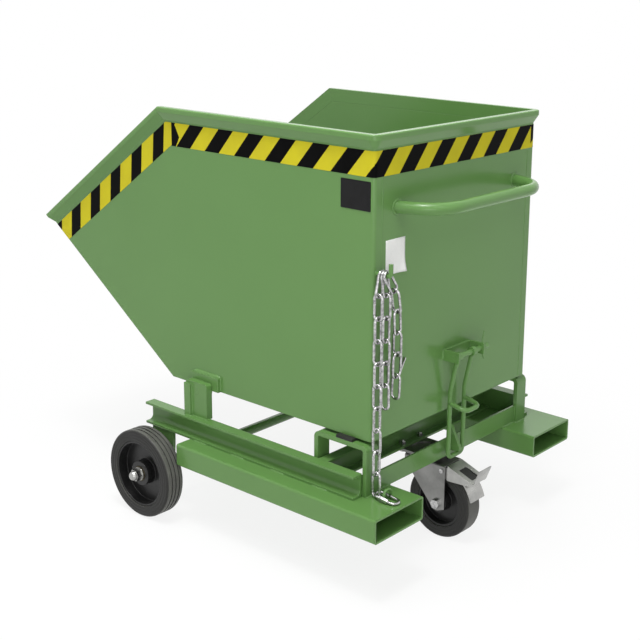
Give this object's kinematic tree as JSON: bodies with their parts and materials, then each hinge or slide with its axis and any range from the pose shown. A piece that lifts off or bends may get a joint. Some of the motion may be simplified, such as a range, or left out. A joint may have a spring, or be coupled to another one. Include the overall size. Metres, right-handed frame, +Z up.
{
  "type": "box trolley",
  "caption": "Tipping box trolley: sheet steel tub with a slanted chute on a fork-pocket frame, tips forward on side pivots, with rod latch, chain, front wheels and braked castor.",
  "frame": {"origin": "on the floor under the middle of the trolley's bounding box", "axes": "+X to the rear, where the push handle is, +Y to the right of the person who pushes, +Z up"},
  "size_m": [1.1202, 0.8128, 0.9075],
  "materials": {
    "green_paint": "satin",
    "hazard_tape": "gloss",
    "tyre": "matte",
    "rubber": "matte",
    "wheel_rim": "matte",
    "bearing": "satin",
    "zinc_steel": "zinc"
  },
  "bodies": {
    "frame": {"left_rail": "green_paint", "right_rail": "green_paint", "left_fork_pocket": "green_paint", "right_fork_pocket": "green_paint", "rear_cross_channel": "green_paint", "rear_tie_angle": "green_paint", "left_rest_bracket": "green_paint", "right_rest_bracket": "green_paint", "rest_pads": "rubber", "left_pivot_post": "green_paint", "right_pivot_post": "green_paint", "pivot_pins": "zinc_steel", "axle_brackets": "green_paint", "front_axle": "green_paint", "axle_washers": "zinc_steel", "axle_nuts": "zinc_steel", "latch_hook": "green_paint", "chain_eye": "green_paint", "quick_link": "zinc_steel", "castor_plate": "zinc_steel", "castor_bolts": "zinc_steel", "castor_nuts": "zinc_steel", "castor_king_pin": "zinc_steel"},
    "tub": {"left_side_wall": "green_paint", "right_side_wall": "green_paint", "rear_wall": "green_paint", "floor_panel": "green_paint", "chute_panel": "green_paint", "rear_rim": "green_paint", "left_rim": "green_paint", "right_rim": "green_paint", "left_mouth_rim": "green_paint", "right_mouth_rim": "green_paint", "push_handle": "green_paint", "latch_bracket": "green_paint", "latch_pin": "zinc_steel", "cotter_pin": "zinc_steel", "chain_hook": "green_paint", "left_pivot_ear": "green_paint", "right_pivot_ear": "green_paint", "hazard_tape": "hazard_tape", "mouth_tapes": "hazard_tape", "chain_bundle": "zinc_steel", "snap_hook": "zinc_steel"},
    "latch": {"latch_bail": "green_paint", "latch_pedal": "green_paint"},
    "left_wheel": {"left_tyre": "tyre", "left_wheel_rim": "wheel_rim", "left_wheel_bearing": "bearing"},
    "right_wheel": {"right_tyre": "tyre", "right_wheel_rim": "wheel_rim", "right_wheel_bearing": "bearing"},
    "castor": {"castor_fork": "zinc_steel", "castor_axle_bolt": "zinc_steel", "brake_rivets": "zinc_steel"},
    "castor_wheel": {"castor_tyre": "tyre", "castor_wheel_rim": "wheel_rim", "castor_bearing": "bearing"},
    "brake": {"brake_pedal": "zinc_steel"},
    "chain_run": {"chain_run": "zinc_steel"}
  },
  "joints": [
    {"name": "tub_tip", "type": "hinge", "parent": "frame", "child": "tub", "pos_m": [-0.02142, 0, 0.297], "axis": [0, -1, 0], "range_deg": [0, 55]},
    {"name": "latch_swing", "type": "hinge", "parent": "tub", "child": "latch", "pos_m": [0.49158, 0, 0.424], "axis": [0, -1, 0], "range_deg": [0, 35]},
    {"name": "chain_hang", "type": "hinge", "parent": "tub", "child": "chain_run", "pos_m": [0.47386, -0.272, 0.28995], "axis": [0, -1, 0], "range_deg": [-55, 0]},
    {"name": "left_wheel_spin", "type": "hinge", "parent": "frame", "child": "left_wheel", "pos_m": [-0.11942, -0.361, 0.1], "axis": [0, 1, 0], "continuous": true},
    {"name": "right_wheel_spin", "type": "hinge", "parent": "frame", "child": "right_wheel", "pos_m": [-0.11942, 0.361, 0.1], "axis": [0, 1, 0], "continuous": true},
    {"name": "castor_swivel", "type": "hinge", "parent": "frame", "child": "castor", "pos_m": [0.38958, 0, 0.172], "axis": [0, 0, 1], "continuous": true},
    {"name": "castor_wheel_spin", "type": "hinge", "parent": "castor", "child": "castor_wheel", "pos_m": [0.44358, 0, 0.08], "axis": [0, 1, 0], "continuous": true},
    {"name": "brake_press", "type": "hinge", "parent": "castor", "child": "brake", "pos_m": [0.45558, 0, 0.1586], "axis": [0, 1, 0], "range_deg": [0, 5]}
  ],
  "couplings": [
    {"joint": "chain_hang", "follows": "tub_tip", "ratio": -1}
  ]
}
